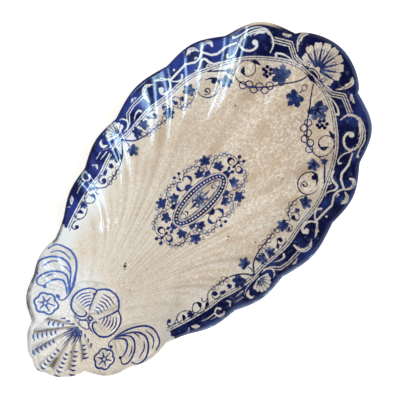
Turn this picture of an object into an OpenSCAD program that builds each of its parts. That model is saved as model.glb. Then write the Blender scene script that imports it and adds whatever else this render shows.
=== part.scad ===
// Fluted shell dish in glazed earthenware. It stands on a foot ring, and its handle carries a thumb shell,
// a knot, a cockle shell, two feathers and two flowers. Lengths are in millimetres and angles in degrees.
// X runs across the dish, Y from the handle to the far rim, and Z up from the table.

/* [Dish] */
// Length from the tip of the handle to the far rim
dish_length = 280; // [240:1:320]
// Width over the widest pair of flutes
dish_width = 155; // [130:1:180]
// Mean height of the rim above the table
rim_height = 32; // [24:0.5:40]
// Thickness of the pressed wall, measured upright
wall = 5; // [3.5:0.1:7]
// Width of the flat floor across the middle of the dish
floor_width = 62; // [44:1:80]
// Depth of the flutes at the rim
flute_depth = 1.8; // [0.6:0.1:3]
// Share of its bearing from the umbo that each rib gains only near the rim
rib_bow = 0.4; // [0:0.05:0.6]
// How far the rounded lip stands out past the edge of the upper face
lip_round = 1.6; // [0.8:0.1:2.4]

/* [Foot] */
// Height of the foot ring
foot_height = 4; // [2:0.5:8]
// Thickness of the foot ring
foot_width = 5; // [3:0.5:8]
// Distance of the foot ring from the edge of the flat floor
foot_inset = 1.5; // [0.5:0.1:5]

/* [Handle] */
// Length of the handle from its tip to the first flute
handle_length = 68; // [60:1:80]
// Width of the handle where it joins the flutes
handle_width = 98; // [88:1:112]
// Distance of the umbo, where all the ribs start, from the tip of the handle
umbo_setback = 41.3; // [38:0.1:46]

/* [Handle mouldings] */
// Reach of the cockle shell from its hinge
cockle_reach = 23.5; // [18:0.5:26]
// Relief of the cockle shell
cockle_relief = 2.6; // [1.5:0.1:4]
// Length of each feather along the handle
feather_length = 28; // [22:0.5:30]
// Relief of the feathers
feather_relief = 2; // [1:0.1:3.5]
// Radius of each flower
flower_radius = 6.8; // [5:0.1:7.5]
// Relief of the flowers
flower_relief = 1.5; // [0.8:0.1:3]
// Reach of the thumb shell to either side of its hinge
thumb_side = 16; // [12:0.5:18]
// Relief of the thumb shell
thumb_relief = 2.4; // [1.2:0.1:4]
// Angle from one rib of the thumb shell to the next
thumb_pitch = 22; // [16:1:26]
// Half length of the umbo knot along the dish
knot_length = 4; // [3:0.1:5]
// Half width of the umbo knot
knot_width = 7; // [5:0.1:8]
// Relief of the umbo knot
knot_relief = 2.8; // [1.5:0.1:4]
// Thickness of every moulding at its edge
moulding_edge = 0.5; // [0.3:0.1:1]
// Space kept between neighbouring mouldings
moulding_gap = 0.8; // [0.4:0.1:2]
// Distance kept from the mouldings to the edge of the handle
edge_margin = 1.5; // [0.8:0.1:3]
// Film of slip between a moulding and the dish
seat_gap = 0.2; // [0.1:0.05:0.3]

/* [Hidden] */
half_length = dish_length / 2;
half_width = dish_width / 2;
handle_start = handle_length - half_length;
bowl_length = dish_length - handle_length;
floor_top = foot_height + wall;
middle_y = handle_start + 0.382 * bowl_length;
umbo = [0, umbo_setback - half_length];
// The exponent that bends the wall up from the floor
wall_bend = 1.9;

// The rim is a ring of lobes between dips, counted clockwise from the far lobe. Each row is one lobe of the
// right side: the place of the dip at its end, across as a share of the half width and along as a share of
// the bowl's length from the handle, then how far it stands out as a share of the half width.
far_dip = [0.35, 0.938];
bowl_lobes = [
    [0.757, 0.789, 0.107], [0.932, 0.604, 0.066], [0.939, 0.384, 0.064],
    [0.846, 0.214, 0.048], [0.7, 0.066, 0.036]
];
// The same for the neck and edge of the handle, as shares of its half width and of its length from the tip.
handle_lobes = [
    [0.99, 1, -0.008], [0.869, 0.622, 0.055], [0.476, 0.293, 0.08],
    [0.335, 0.13, 0.02], [0.122, 0.037, 0.022]
];
// The exponents that round the far lobe and the others
far_fullness = 0.72;
fullness = 1.1;

function mirrored(p) = [-p[0], p[1]];
function on_bowl(row) = [row[0] * half_width, handle_start + row[1] * bowl_length];
function on_handle(row) = [row[0] * handle_width / 2, row[1] * handle_length - half_length];
dips = concat(
    [for (row = concat([far_dip], bowl_lobes)) on_bowl(row)],
    [for (row = handle_lobes) on_handle(row)]
);
tip_lobe = len(dips);
lobe_count = 2 * tip_lobe;
last_flute = len(bowl_lobes);
bulges = concat(
    [half_length - dips[0][1]],
    [for (row = bowl_lobes) row[2] * half_width],
    [for (row = handle_lobes) row[2] * handle_width / 2],
    [half_length + dips[tip_lobe - 1][1]]
);

// A point of a lobe on the right side, from its first dip (0) to its last (1), with some share of its bulge
function lobe_point(lobe, along, fill) =
    let (first = lobe == 0 ? mirrored(dips[0]) : dips[lobe - 1])
    let (last = lobe == tip_lobe ? mirrored(first) : dips[lobe])
    let (chord = last - first, out = [-chord[1], chord[0]] / norm(chord))
    first + along * chord + fill * bulges[lobe] * out;

// Places on the rim are counted in lobes: 0 is the far tip, and whole numbers are the middles of lobes
function from_far(place) = min(place, lobe_count - place);
function facing(place, p) = place > tip_lobe ? mirrored(p) : p;
function rim(place) =
    let (lobe = floor(from_far(place) + 0.5), along = from_far(place) + 0.5 - lobe)
    let (fill = pow(sin(180 * along), lobe == 0 ? far_fullness : fullness))
    facing(place, lobe_point(lobe, along, fill));

function smooth(x) = let (k = min(1, max(0, x))) k * k * (3 - 2 * k);
function bearing(p, from) = atan2(p[0] - from[0], p[1] - from[1]);

// Smooth closed curve through a list of points, at a place counted in points
function curve(points, place) =
    let (n = len(points), i = floor(place), f = place - i)
    let (a = points[(i + n - 1) % n], b = points[i % n], c = points[(i + 1) % n], d = points[(i + 2) % n])
    b + f * (c - a) / 2 + f * f * (a - 2.5 * b + 2 * c - d / 2) + f * f * f * (1.5 * (b - c) + (d - a) / 2);

// Mean outline, without the lobes, as bearings and distances from the middle of the dish
middle = [0, middle_y];
mean_points = [for (place = [0:lobe_count - 1]) facing(place, lobe_point(from_far(place), 0.5, 0.5))];
mean_outline = [for (i = [0:8 * tip_lobe])
    let (p = curve(mean_points, i / 8)) [abs(bearing(p, middle)), norm(p - middle)]];
function mean_radius(p) = lookup(abs(bearing(p, middle)), mean_outline);
function share(p) = norm(p - middle) / mean_radius(p);
floor_share = floor_width / (2 * lookup(90, mean_outline));

// Height of the upper face without flutes
function bare_height(p) =
    let (rise = max(0, (share(p) - floor_share) / (1 - floor_share)))
    floor_top + (rim_height - floor_top) * pow(rise, wall_bend);

// Flutes: channels end at the middles of the lobes and ribs at the dips. They fade out towards the handle.
function flute_wave(place) = cos(360 * place) - 0.25 * cos(720 * place);
function flute_fade(place) = 1 - smooth(from_far(place) - last_flute + 0.3);
function flute(place, p) =
    let (start = smooth((norm(p - umbo) - cockle_reach - 6) / 20), rise = smooth((share(p) - 0.35) / 0.6))
    -flute_depth * flute_wave(place) * flute_fade(place) * start * (0.12 + 0.88 * rise);

// A rib's path on plan, from the umbo (0) to the edge of the upper face (1). It bends outwards near the rim.
rib_bend = 3.5;
function upper_edge(place) = let (p = rim(place)) p + lip_round * (middle - p) / norm(middle - p);
function rib(place, v) =
    let (end = upper_edge(place), bow = rib_bow * flute_fade(place) * (1 - pow(v, rib_bend)))
    let (turn = bearing(end, umbo) * (1 - bow))
    umbo + v * norm(end - umbo) * [sin(turn), cos(turn)];

// Joins rows of points, each with the same count, into a closed skin between a first and a last point
function skin(rows, count) = concat(
    [for (i = [0:count - 1]) [0, 1 + i, 1 + (i + 1) % count]],
    [for (r = [0:rows - 2], i = [0:count - 1], half = [0, 1])
        let (a = 1 + r * count + i, b = 1 + r * count + (i + 1) % count)
        half == 0 ? [a, a + count, b] : [b, a + count, b + count]],
    [for (i = [0:count - 1])
        let (last = 1 + (rows - 1) * count) [rows * count + 1, last + (i + 1) % count, last + i]]
);

// Columns of the dish's skin: eight to a lobe of the bowl and four to a lobe of the handle
right_places = concat([for (i = [0:8 * last_flute + 3]) i / 8],
    [for (i = [0:4 * (tip_lobe - last_flute) - 2]) last_flute + 0.5 + i / 4]);
places = concat(right_places, [for (i = [len(right_places) - 2:-1:1]) lobe_count - right_places[i]]);
upper_rows = [0.04, 0.08, 0.12, 0.2, 0.32, 0.45, 0.56, 0.65, 0.73, 0.8, 0.86, 0.91, 0.96, 1];
lip_turns = [60, 120, 180];
under_rows = [0.92, 0.83, 0.74, 0.64, 0.54, 0.46, 0];

function upper_point(place, v) = let (p = rib(place, v)) [p[0], p[1], bare_height(p) + flute(place, p)];
function lip_point(place, turn) =
    let (edge = upper_point(place, 1), out = sin(turn) * (rim(place) - upper_edge(place)))
    [edge[0] + out[0], edge[1] + out[1], edge[2] - wall / 2 * (1 - cos(turn))];
// On the underside a row of 1 lies at the lip and a row of 0 at the edge of the flat floor
function under_point(place, row) =
    let (edge = upper_edge(place), flat = floor_share / share(edge), k = flat + row * (1 - flat))
    let (p = middle + k * (edge - middle))
    [p[0], p[1], row == 0 ? foot_height : bare_height(p) - wall + flute(place, p) * smooth(row * 1.2)];

module dish_body() {
    rows = concat(
        [for (v = upper_rows) [for (s = places) upper_point(s, v)]],
        [for (turn = lip_turns) [for (s = places) lip_point(s, turn)]],
        [for (row = under_rows) [for (s = places) under_point(s, row)]]
    );
    points = concat(
        [[umbo[0], umbo[1], bare_height(umbo)]],
        [for (row = rows) each row],
        [[middle[0], middle[1], foot_height]]
    );
    color("#d8cbb4") polyhedron(points, skin(len(rows), len(places)), convexity = 8);
}

// Outline of the flat floor drawn in by a distance
function floor_outline(inset) = [for (i = [0:95])
    let (turn = i * 360 / 96, r = floor_share * lookup(turn > 180 ? 360 - turn : turn, mean_outline) - inset)
    middle + r * [sin(turn), cos(turn)]];

module foot_ring() {
    color("#c9b899") linear_extrude(foot_height) difference() {
        polygon(floor_outline(foot_inset));
        polygon(floor_outline(foot_inset + foot_width));
    }
}

// A moulding seated on the handle: its outline is drawn in towards a centre, and its face swells by a relief
moulding_rings = [0.35, 0.65, 0.88, 1];
module moulding(outline, centre, relief) {
    count = len(outline);
    function seat(p) = bare_height(p) + seat_gap;
    function face(p, k) = seat(p) + moulding_edge + (relief(p) - moulding_edge) * sqrt(max(0, 1 - k * k));
    function ring(k, upper) = [for (q = outline) let (p = centre + k * (q - centre))
        [p[0], p[1], upper ? face(p, k) : seat(p)]];
    rows = concat(
        [for (k = moulding_rings) ring(k, true)],
        [for (i = [len(moulding_rings) - 1:-1:0]) ring(moulding_rings[i], false)]
    );
    points = concat(
        [[centre[0], centre[1], face(centre, 0)]],
        [for (row = rows) each row],
        [[centre[0], centre[1], seat(centre)]]
    );
    polyhedron(points, skin(len(rows), count), convexity = 6);
}

// Thumb shell: a fan of ribs that opens towards the tip of the handle
thumb_hinge = umbo - [0, knot_length + moulding_gap];
thumb_spread = 3.5 * thumb_pitch;
thumb_rim = [for (i = [0:4 * (tip_lobe - last_flute)])
    let (p = rim(tip_lobe - i / 4)) [atan2(p[0], thumb_hinge[1] - p[1]), norm(p - thumb_hinge)]];
function thumb_reach(turn) =
    let (side = smooth((abs(turn) - 40) / 40), full = lookup(abs(turn), thumb_rim) - edge_margin - lip_round)
    (full * (1 - side) + thumb_side * side) * (1 + 0.02 * cos(360 * turn / thumb_pitch));
function thumb_ridge(p) =
    thumb_relief * (0.7 + 0.3 * cos(360 * atan2(p[0], thumb_hinge[1] - p[1]) / thumb_pitch));
thumb_fan = [for (i = [21:-1:-21]) let (turn = i * thumb_spread / 21)
    thumb_hinge + thumb_reach(turn) * [sin(turn), -cos(turn)]];
// Half width of the thumb shell over a stretch of the handle
function thumb_half_width(low, high) =
    max([for (p = thumb_fan) p[1] > low && p[1] < high ? p[0] : thumb_side]);
module thumb_shell() {
    color("#d8d2c6") moulding(concat([thumb_hinge], thumb_fan), thumb_hinge - [0, thumb_side * 0.7],
        function (p) thumb_ridge(p));
}

module umbo_knot() {
    oval = [for (i = [0:23]) umbo + [-knot_width * sin(i * 15), knot_length * cos(i * 15)]];
    color("#d8d2c6") moulding([for (i = [23:-1:0]) oval[i]], umbo, function (p) knot_relief);
}

// Cockle shell: three lobes that open from their hinge towards the floor
cockle_hinge = umbo + [0, knot_length + moulding_gap];
cockle_spread = 100;
cockle_lobe = 62;
function cockle_swell(turn) = cos(360 * turn / cockle_lobe);
function cockle_edge(turn) =
    cockle_reach * (1 - 0.25 * pow(turn / cockle_spread, 2)) * (1 + 0.04 * cockle_swell(turn));
function cockle_ridge(p) = cockle_relief * (0.75 + 0.25 * cockle_swell(bearing(p, cockle_hinge)));
module cockle_shell() {
    fan = [for (turn = [-cockle_spread:5:cockle_spread])
        cockle_hinge + cockle_edge(turn) * [sin(turn), cos(turn)]];
    color("#d8d2c6") moulding(concat([cockle_hinge], fan), cockle_hinge + [0, cockle_reach * 0.4],
        function (p) cockle_ridge(p));
}

// Feathers: they fill the room between the cockle shell and the edge of the handle, and lean with that edge
feather_inner = cockle_reach * 0.86 + moulding_gap;
feather_outer = handle_width / 2 - edge_margin - lip_round;
feather_lean = 0.22;
feather_middle = [(feather_inner + feather_outer) / 2, handle_start + edge_margin - feather_length / 2];
feather_half = (feather_outer - feather_inner) / 2;
feather_root = feather_middle - [feather_half, feather_length / 5];
frond_pitch = 26;
function frond(p) = cos(360 * bearing(p, feather_root) / frond_pitch);
function feather_point(turn) =
    let (y = feather_length / 2 * cos(turn), p = [feather_half * sin(turn) + feather_lean * y, y])
    feather_middle + p * (1 + 0.03 * frond(feather_middle + p));
function feather_ridge(p) = feather_relief * (0.7 + 0.3 * frond(p));
module feather() {
    moulding([for (i = [0:47]) feather_point(i * 7.5)], feather_middle, function (p) feather_ridge(p));
}
module left_feather() {
    color("#d8d2c6") mirror([1, 0, 0]) feather();
}
module right_feather() {
    color("#d8d2c6") feather();
}

// Flowers: rosettes below the feathers, each beside the thumb shell
flower_petals = 6;
flower_y = feather_middle[1] - feather_length / 2 - moulding_gap - flower_radius;
flower_x = thumb_half_width(flower_y - flower_radius, flower_y + flower_radius) + moulding_gap + flower_radius;
flower_middle = [flower_x, flower_y];
function petal(turn) = cos(flower_petals * turn);
module flower() {
    edge = [for (i = [0:47]) let (turn = i * 7.5)
        flower_middle + flower_radius * (0.94 + 0.06 * petal(turn)) * [sin(turn), cos(turn)]];
    moulding(edge, flower_middle,
        function (p) flower_relief * (0.85 + 0.15 * petal(bearing(p, flower_middle))));
}
module left_flower() {
    color("#d8d2c6") mirror([1, 0, 0]) flower();
}
module right_flower() {
    color("#d8d2c6") flower();
}

dish_body();
foot_ring();
thumb_shell();
umbo_knot();
cockle_shell();
left_feather();
right_feather();
left_flower();
right_flower();
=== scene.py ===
"""Dresses the fluted shell dish: blue print, painted handle, stained glaze, a white table and lights.

Lengths are in millimetres until a mesh is made, and in metres for the table and the lights. X runs across
the dish, Y towards the far rim and Z up.
"""
import math

import bpy
import numpy as np
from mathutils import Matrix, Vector
from mathutils.geometry import delaunay_2d_cdt


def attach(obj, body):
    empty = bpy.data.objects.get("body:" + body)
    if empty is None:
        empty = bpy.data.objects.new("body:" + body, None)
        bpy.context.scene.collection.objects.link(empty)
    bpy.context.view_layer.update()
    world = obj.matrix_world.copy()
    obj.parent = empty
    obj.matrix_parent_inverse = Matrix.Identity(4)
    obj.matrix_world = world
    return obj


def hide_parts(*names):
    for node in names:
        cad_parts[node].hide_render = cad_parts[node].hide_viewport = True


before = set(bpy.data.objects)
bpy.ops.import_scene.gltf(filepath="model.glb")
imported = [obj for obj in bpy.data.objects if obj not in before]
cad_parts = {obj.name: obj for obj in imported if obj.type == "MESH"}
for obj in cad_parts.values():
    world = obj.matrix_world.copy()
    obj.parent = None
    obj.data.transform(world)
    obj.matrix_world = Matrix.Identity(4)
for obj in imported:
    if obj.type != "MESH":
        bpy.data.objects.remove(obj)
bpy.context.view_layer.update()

# One millimetre, in metres
MILLIMETRE = 0.001

# Driving sizes, as in the part's source
DISH_LENGTH = 280.0
DISH_WIDTH = 155.0
RIM_HEIGHT = 32.0
WALL = 5.0
FLOOR_WIDTH = 62.0
FLUTE_DEPTH = 1.8
RIB_BOW = 0.4
RIB_BEND = 3.5
WALL_BEND = 1.9
LIP_ROUND = 1.6
FOOT_HEIGHT = 4.0
FOOT_WIDTH = 5.0
FOOT_INSET = 1.5
HANDLE_LENGTH = 68.0
HANDLE_WIDTH = 98.0
UMBO_SETBACK = 41.3
COCKLE_REACH = 23.5
COCKLE_RELIEF = 2.6
COCKLE_LOBE = 62.0
COCKLE_SPREAD = 100.0
FEATHER_LENGTH = 28.0
FEATHER_RELIEF = 2.0
FLOWER_RADIUS = 6.8
FLOWER_RELIEF = 1.5
FLOWER_PETALS = 6
THUMB_SIDE = 16.0
THUMB_RELIEF = 2.4
THUMB_PITCH = 22.0
KNOT_LENGTH = 4.0
KNOT_WIDTH = 7.0
KNOT_RELIEF = 2.8
MOULDING_GAP = 0.8
EDGE_MARGIN = 1.5

HALF_LENGTH = DISH_LENGTH / 2
HALF_WIDTH = DISH_WIDTH / 2
HANDLE_START = HANDLE_LENGTH - HALF_LENGTH
BOWL_LENGTH = DISH_LENGTH - HANDLE_LENGTH
FLOOR_TOP = FOOT_HEIGHT + WALL
# Where the middle of the floor lies, as a share of the bowl's length from the handle
MIDDLE_SHARE = 0.382
MIDDLE = np.array([0.0, HANDLE_START + MIDDLE_SHARE * BOWL_LENGTH])
UMBO = np.array([0.0, UMBO_SETBACK - HALF_LENGTH])

# The right side's lobes, as shares: the dip that ends each one, and how far the lobe stands out
BOWL_DIPS = np.array([(0.35, 0.938), (0.757, 0.789), (0.932, 0.604),
                      (0.939, 0.384), (0.846, 0.214), (0.7, 0.066)])
HANDLE_DIPS = np.array([(0.99, 1), (0.869, 0.622), (0.476, 0.293), (0.335, 0.13), (0.122, 0.037)])
BOWL_BULGES = np.array([0.107, 0.066, 0.064, 0.048, 0.036])
HANDLE_BULGES = np.array([-0.008, 0.055, 0.08, 0.02, 0.022])
DIPS = np.vstack([
    BOWL_DIPS * (HALF_WIDTH, BOWL_LENGTH) + (0, HANDLE_START),
    HANDLE_DIPS * (HANDLE_WIDTH / 2, HANDLE_LENGTH) - (0, HALF_LENGTH),
])
TIP_LOBE = len(DIPS)
LOBE_COUNT = 2 * TIP_LOBE
LAST_FLUTE = len(BOWL_BULGES)
BULGES = np.concatenate([
    [HALF_LENGTH - DIPS[0, 1]],
    BOWL_BULGES * HALF_WIDTH,
    HANDLE_BULGES * HANDLE_WIDTH / 2,
    [HALF_LENGTH + DIPS[-1, 1]],
])
MIRROR = np.array([-1.0, 1.0])
LOBE_STARTS = np.vstack([DIPS[0] * MIRROR, DIPS])
LOBE_ENDS = np.vstack([DIPS, DIPS[-1] * MIRROR])
# The exponents that round the far lobe and the others
FAR_FULLNESS = 0.72
FULLNESS = 1.1


def smooth(x):
    """0 below 0, 1 above 1 and an easy slope between."""
    k = np.clip(x, 0, 1)
    return k * k * (3 - 2 * k)


def bearing(p, origin):
    """Degrees clockwise from +Y, seen from the origin."""
    return np.degrees(np.arctan2(p[..., 0] - origin[0], p[..., 1] - origin[1]))


def distance(p, origin):
    """How far points lie from an origin."""
    return np.linalg.norm(p - origin, axis=-1)


def heading(turn):
    """The unit step that goes with a bearing in degrees."""
    turn = np.radians(turn)
    return np.stack([np.sin(turn), np.cos(turn)], -1)


def from_far(place):
    """Places on the rim are counted in lobes, clockwise from the far tip; this is the way back to it."""
    return np.minimum(place, LOBE_COUNT - place)


def lobe_points(place, lobe, along, fill):
    """Points along lobes, from their first dips (0) to their last (1), with a share of their bulge."""
    chord = LOBE_ENDS[lobe] - LOBE_STARTS[lobe]
    out = chord[:, ::-1] * MIRROR / np.linalg.norm(chord, axis=1)[:, None]
    p = LOBE_STARTS[lobe] + along[:, None] * chord + (fill * BULGES[lobe])[:, None] * out
    return np.where((place > TIP_LOBE)[:, None], p * MIRROR, p)


def rim(place):
    """The outermost line of the dish."""
    way = from_far(place)
    lobe = np.floor(way + 0.5).astype(int)
    along = way + 0.5 - lobe
    fill = np.abs(np.sin(np.pi * along)) ** np.where(lobe == 0, FAR_FULLNESS, FULLNESS)
    return lobe_points(place, lobe, along, fill)


def path_lengths(line):
    """The way run along a line of points, at each of them."""
    return np.concatenate([[0], np.cumsum(np.linalg.norm(np.diff(line, axis=0), axis=1))])


def smooth_path(points, step=0.5):
    """A smooth open curve through some points, sampled about every step."""
    p = np.asarray(points, float)
    p = np.vstack([2 * p[0] - p[1], p, 2 * p[-1] - p[-2]])
    runs = []
    for a, b, c, d in zip(p, p[1:], p[2:], p[3:]):
        f = np.linspace(0, 1, max(2, int(distance(c, b) / step) + 1), endpoint=False)[:, None]
        bend = f * f * (a - 2.5 * b + 2 * c - d / 2) + f**3 * (1.5 * (b - c) + (d - a) / 2)
        runs.append(b + f * (c - a) / 2 + bend)
    return np.vstack(runs + [p[-2:-1]])


def mean_outline():
    """Bearings and distances from the middle of the dish to its outline without the lobes."""
    place = np.arange(-2, TIP_LOBE + 3) % LOBE_COUNT
    half = np.full(len(place), 0.5)
    line = smooth_path(lobe_points(place, from_far(place), half, half))
    turn = bearing(line, MIDDLE)
    order = np.argsort(turn)
    return turn[order], distance(line, MIDDLE)[order]


MEAN_TURNS, MEAN_RADII = mean_outline()


def mean_radius(turn):
    """Distance from the middle of the dish to its mean outline."""
    return np.interp(np.abs(turn), MEAN_TURNS, MEAN_RADII)


FLOOR_SHARE = FLOOR_WIDTH / (2 * mean_radius(90))


def share(p):
    """How far out a point lies: 0 in the middle and 1 on the mean outline."""
    return distance(p, MIDDLE) / mean_radius(bearing(p, MIDDLE))


def bare_height(p):
    """Height of the upper face without flutes."""
    rise = np.maximum(0, (share(p) - FLOOR_SHARE) / (1 - FLOOR_SHARE))
    return FLOOR_TOP + (RIM_HEIGHT - FLOOR_TOP) * rise**WALL_BEND


def flute_fade(place):
    """The flutes fade out towards the handle."""
    return 1 - smooth(from_far(place) - LAST_FLUTE + 0.3)


def flute(place, p):
    """Channels end at the middles of the lobes, and ribs at the dips between them."""
    wave = np.cos(2 * np.pi * place) - 0.25 * np.cos(4 * np.pi * place)
    start = smooth((distance(p, UMBO) - COCKLE_REACH - 6) / 60)
    rise = smooth((share(p) - 0.35) / 0.6)
    return -FLUTE_DEPTH * wave * flute_fade(place) * start * (0.12 + 0.88 * rise)


def upper_edge(place):
    """Where the upper face turns over into the lip."""
    p = rim(place)
    inward = MIDDLE - p
    return p + LIP_ROUND * inward / np.linalg.norm(inward, axis=1)[:, None]


def rib(place, v):
    """A rib's path on plan, from the umbo (0) to the edge of the upper face (1)."""
    end = upper_edge(place)
    bow = RIB_BOW * flute_fade(place) * (1 - v**RIB_BEND)
    reach = v * distance(end, UMBO)
    return UMBO + reach[:, None] * heading(bearing(end, UMBO) * (1 - bow))


class Canvas:
    """A flat drawing that holds signed distances, in millimetres and positive inside what is drawn."""

    CELL = 0.15
    BLANK = -9.0

    def __init__(self, half_width, low, high):
        columns = math.ceil(half_width / self.CELL)
        self.x = np.arange(-columns, columns + 1) * self.CELL
        self.y = np.arange(low, high, self.CELL)
        self.field = np.full((len(self.y), len(self.x)), self.BLANK)

    def window(self, low, high):
        """The cells in a box, and their coordinates."""
        c0, c1 = np.searchsorted(self.x, (low[0], high[0]))
        r0, r1 = np.searchsorted(self.y, (low[1], high[1]))
        return self.field[r0:r1, c0:c1], self.x[c0:c1], self.y[r0:r1, None]

    def capsule(self, a, b, radius_a, radius_b):
        """A straight stroke from a to b whose half width changes on the way."""
        room = max(radius_a, radius_b) + 1
        field, x, y = self.window(np.minimum(a, b) - room, np.maximum(a, b) + room)
        step = b - a
        k = np.clip(((x - a[0]) * step[0] + (y - a[1]) * step[1]) / max(step @ step, 1e-9), 0, 1)
        away = np.hypot(x - a[0] - k * step[0], y - a[1] - k * step[1])
        np.maximum(field, radius_a + k * (radius_b - radius_a) - away, out=field)

    def strokes(self, line, widths):
        """A stroke along a line of points, with widths spread evenly over its length."""
        line = np.asarray(line, float)
        run = path_lengths(line)
        widths = np.atleast_1d(widths)
        stops = np.linspace(0, run[-1], len(widths))
        stations = np.union1d(run, stops)
        line = np.column_stack([np.interp(stations, run, line[:, k]) for k in (0, 1)])
        radii = np.interp(stations, stops, widths / 2)
        for a, b, radius_a, radius_b in zip(line, line[1:], radii, radii[1:]):
            self.capsule(a, b, radius_a, radius_b)

    def ray(self, centre, turn, near, far, widths):
        """A straight stroke along a bearing, between two distances from a centre."""
        self.strokes([centre + near * heading(turn), centre + far * heading(turn)], widths)

    def curve(self, points, widths):
        """A stroke along the smooth curve through some points."""
        self.strokes(smooth_path(points), widths)

    def dot(self, centre, radius):
        """A round spot."""
        centre = np.asarray(centre, float)
        self.capsule(centre, centre, radius, radius)

    def ring(self, centre, radius, width):
        """A round loop."""
        self.strokes(np.asarray(centre) + radius * heading(np.arange(0, 361, 20)), width)

    def spiral(self, centre, radius, start, turns, width):
        """A scroll that winds in from a bearing to a spot, clockwise if turns is positive."""
        k = np.linspace(0, 1, int(24 * abs(turns)) + 2)
        line = np.asarray(centre) + (radius * (1 - 0.72 * k))[:, None] * heading(start + 360 * turns * k)
        self.strokes(line, (width, width * 1.2))
        self.dot(line[-1], width * 1.1)

    def acanthus(self, vein, points, widths, teeth=4, side=1):
        """A scroll with leaf teeth along one side. Its vein goes on another canvas."""
        line = smooth_path(points)
        self.strokes(line, widths)
        vein.strokes(line[len(line) // 6:-len(line) // 4], (0.1, 0.26 * max(widths), 0.1))
        for k in np.linspace(0.15, 0.8, teeth):
            i = int(k * (len(line) - 2))
            width = np.interp(k, np.linspace(0, 1, len(widths)), widths)
            along = bearing(line[i + 1] - line[i], (0, 0))
            self.strokes([line[i], line[i] + (0.5 + width) * heading(along + 50 * side)], (width * 0.7, 0.2))

    def chain(self, points, radius, width):
        """Small loops strung along a curve, on either side in turn."""
        line = smooth_path(points)
        run = path_lengths(line)
        for n, reach in enumerate(np.arange(radius, run[-1], 1.5 * radius)):
            i = min(np.searchsorted(run, reach), len(line) - 2)
            along = bearing(line[i + 1] - line[i], (0, 0))
            self.ring(line[i] + 0.5 * radius * heading(along + (90 if n % 2 else -90)), radius, width)

    def mirror(self):
        """Draws the right side on the left too."""
        self.field = np.maximum(self.field, self.field[:, ::-1])

    def at(self, p):
        """The field at points of the drawing, read between the cells."""
        c = np.clip((p[:, 0] - self.x[0]) / self.CELL, 0, len(self.x) - 1.001)
        r = np.clip((p[:, 1] - self.y[0]) / self.CELL, 0, len(self.y) - 1.001)
        i, j = r.astype(int), c.astype(int)
        f, g = r - i, c - j
        low = self.field[i, j] * (1 - g) + self.field[i, j + 1] * g
        high = self.field[i + 1, j] * (1 - g) + self.field[i + 1, j + 1] * g
        return low * (1 - f) + high * f


def vine_leaf(wash, ink, centre, facing, size, shade):
    """A leaf of five toothed lobes whose tip points the way it faces. Shade says how wide its veins are."""
    base = np.asarray(centre, float) - 0.2 * size * heading(facing)
    for turn, length in ((0, 1.45), (55, 1.3), (-55, 1.3), (112, 1.05), (-112, 1.05)):
        way = heading(facing + turn)
        tip = base + size * length * way
        wash.strokes([base, tip], (0.75 * size, 0.9 * size, 0.65 * size, 0.08))
        for side in (-52, 52):
            root = base + 0.55 * size * length * way
            tooth = root + 0.42 * size * length * heading(facing + turn + side)
            wash.strokes([root, tooth], (0.34 * size, 0.1))
        ink.strokes([base, base + 0.85 * (tip - base)], (1.4 * shade * size, shade * size, 0.05))


def arc(centre, radius, start, end):
    """Points along part of a circle, between two bearings."""
    return np.asarray(centre) + radius * heading(np.linspace(start, end, 17))


def draw_far_shell(reserve, wash, ink):
    """The scallop on the far lobe: a ruffled fan of shaded cream lobes, with thin ribs between them."""
    hinge = np.array([0.0, 121.0])
    lobe = 23.0
    for turn in lobe * np.arange(5):
        reach = 13.4 - 3.4 * (turn / (4 * lobe)) ** 4
        reserve.ray(hinge, turn, 0, reach, (2.0, 5.5))
        for side in (-5, 5):
            reserve.dot(hinge + (reach + 1.9) * heading(turn + side), 1.1)
        wash.strokes(arc(hinge, 0.86 * reach, turn - 9, turn + 9), (0.6, 0.1, 0.6))
        wash.strokes([hinge + 7 * heading(turn), hinge + reach * heading(turn + 3)], (0.2, 0.7, 0.2))
    for turn in lobe * (np.arange(4) + 0.5):
        wash.ray(hinge, turn, 2.4, 13.4, (2.0, 1.9, 1.3, 0.4))
        ink.ray(hinge, turn, 2.4, 15.4, 0.5)
    ink.spiral((6.6, 118.8), 1.9, 330, 1.0, 0.5)
    ink.strokes([(0, 114.4), (4.2, 114.2)], (3.2, 0.8))
    reserve.curve([(0, 121), (3, 120.4), (5.4, 118.6), (9.6, 117.3), (16, 117.1)], (2.2, 1.4, 1.0, 0.8))
    reserve.curve([(0, 118.9), (2.4, 118.4), (4.6, 117.2)], (1.0, 0.7))


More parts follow.
